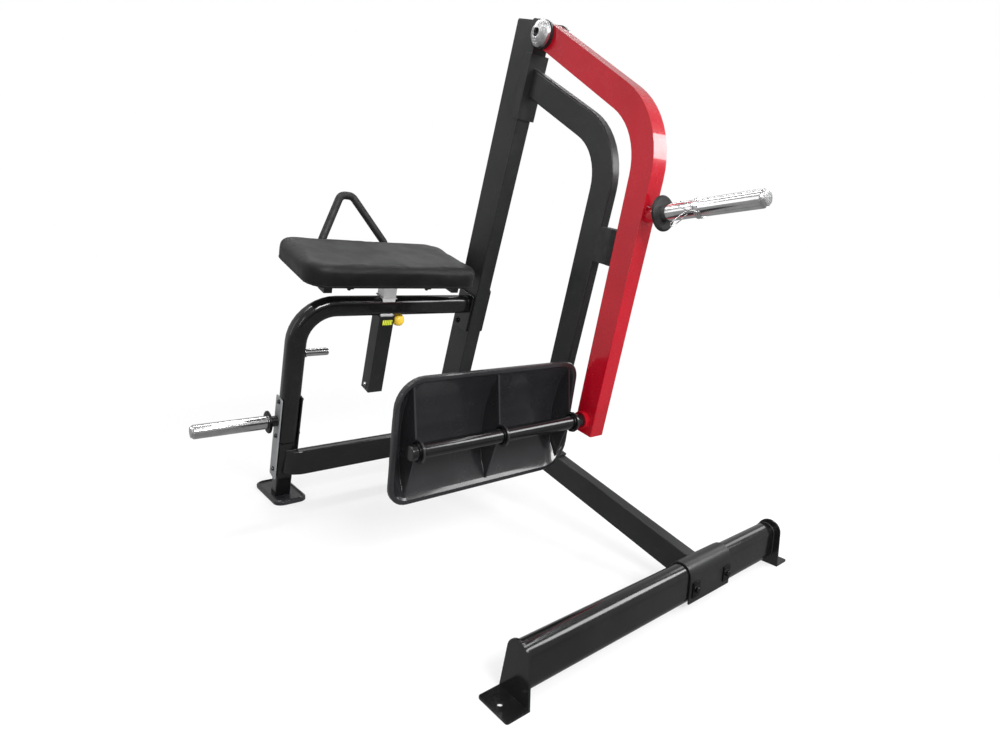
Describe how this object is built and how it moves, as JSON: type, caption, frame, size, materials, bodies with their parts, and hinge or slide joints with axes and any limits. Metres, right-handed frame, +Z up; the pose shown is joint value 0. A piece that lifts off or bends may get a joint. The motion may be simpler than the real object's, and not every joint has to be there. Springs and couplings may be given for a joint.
{
  "type": "standing rear kick machine",
  "caption": "Plate-loaded standing rear-kick gym machine with a pivoting arm, foot plate, tilted chest pad, grip loop and weight horns on a bolted tube frame.",
  "frame": {"origin": "centre of the bounding box's footprint, on the floor", "axes": "+X along the floor cross member towards the upright's side, +Y from the weight horn towards the upright and pad, +Z up"},
  "size_m": [1.5028, 1.6542, 1.7946],
  "materials": {
    "frame_charcoal": "satin charcoal powder coat",
    "frame_gloss_black": "gloss black powder coat",
    "arm_red": "gloss red paint",
    "chrome": "polished plating",
    "steel": "zinc plated steel",
    "zinc_grey": "silver-grey paint",
    "rubber": "matt black rubber",
    "plastic_black": "matt black moulding",
    "yellow": "yellow moulded knob",
    "label": "plain yellow-green marker",
    "vinyl": "grained black vinyl over foam",
    "plywood": "dark-stained plywood",
    "bolt_black": "blackened steel"
  },
  "bodies": {
    "base": {"cross_member": "frame_gloss_black", "floor_bracket_left": "frame_gloss_black", "floor_bracket_right": "frame_gloss_black", "saddle_plate": "frame_charcoal", "saddle_bolt_left": "bolt_black", "saddle_bolt_right": "bolt_black", "spine_tube": "frame_charcoal", "upright_frame": "frame_charcoal", "upright_cap": "plastic_black", "foot_pad_left": "rubber", "foot_pad_right": "rubber", "lower_post": "frame_gloss_black", "splice_plate_left": "zinc_grey", "splice_plate_right": "frame_gloss_black", "splice_bolt_1": "bolt_black", "splice_bolt_2": "bolt_black", "splice_bolt_3": "bolt_black", "storage_horn_stem": "frame_gloss_black", "storage_horn_flange": "bolt_black", "storage_horn_sleeve": "chrome", "accessory_peg": "chrome", "front_beam": "frame_gloss_black", "seat_frame_tube": "frame_gloss_black", "backing_plate": "frame_charcoal", "flange_bolt": "bolt_black", "height_sleeve": "frame_charcoal", "guide_collar": "steel", "sleeve_stop_bolt": "steel", "pin_housing": "steel", "index_label": "label", "arch_frame": "frame_charcoal", "arch_foot_bolt_near": "steel", "arch_foot_bolt_far": "steel", "stop_bumper": "rubber", "stop_mount": "plastic_black", "pivot_shaft": "steel", "pivot_cap_left": "steel", "pivot_cap_right": "steel"},
    "arm": {"swing_arm": "arm_red", "pivot_bearing_left": "steel", "pivot_bearing_right": "steel", "foot_tube": "frame_gloss_black", "weight_horn_flange": "rubber", "weight_horn_sleeve": "chrome"},
    "kick_plate_group": {"kick_plate": "frame_gloss_black", "plate_bush_left": "bolt_black", "plate_bush_mid": "bolt_black", "plate_bush_right": "bolt_black"},
    "clip": {"spring_clip": "chrome"},
    "pad_group": {"height_post": "chrome", "pad_carrier": "frame_charcoal", "pad_board": "plywood", "torso_pad": "vinyl", "pad_bolt_left": "bolt_black", "pad_bolt_right": "bolt_black", "grip_loop": "rubber"},
    "pull_pin": {"pull_pin_rod": "steel", "pull_pin_knob": "yellow"}
  },
  "joints": [
    {"name": "arm_swing", "type": "hinge", "parent": "base", "child": "arm", "pos_m": [0.31562, 0.0039, 1.70308], "axis": [-1, 0, 0], "range_deg": [0, 60]},
    {"name": "kick_plate_tilt", "type": "hinge", "parent": "arm", "child": "kick_plate_group", "pos_m": [-0.07337, -0.27792, 0.432], "axis": [-1, 0, 0], "range_deg": [-20, 20]},
    {"name": "clip_slide", "type": "slide", "parent": "arm", "child": "clip", "axis": [0, -0.9965, 0.083], "range_m": [-0.08, 0.15]},
    {"name": "pad_height", "type": "slide", "parent": "base", "child": "pad_group", "axis": [0, -0.311, 0.9504], "range_m": [0, 0.15]},
    {"name": "pull_pin_out", "type": "slide", "parent": "base", "child": "pull_pin", "axis": [1, 0, 0], "range_m": [0, 0.012], "stiffness_N_per_m": 800}
  ]
}
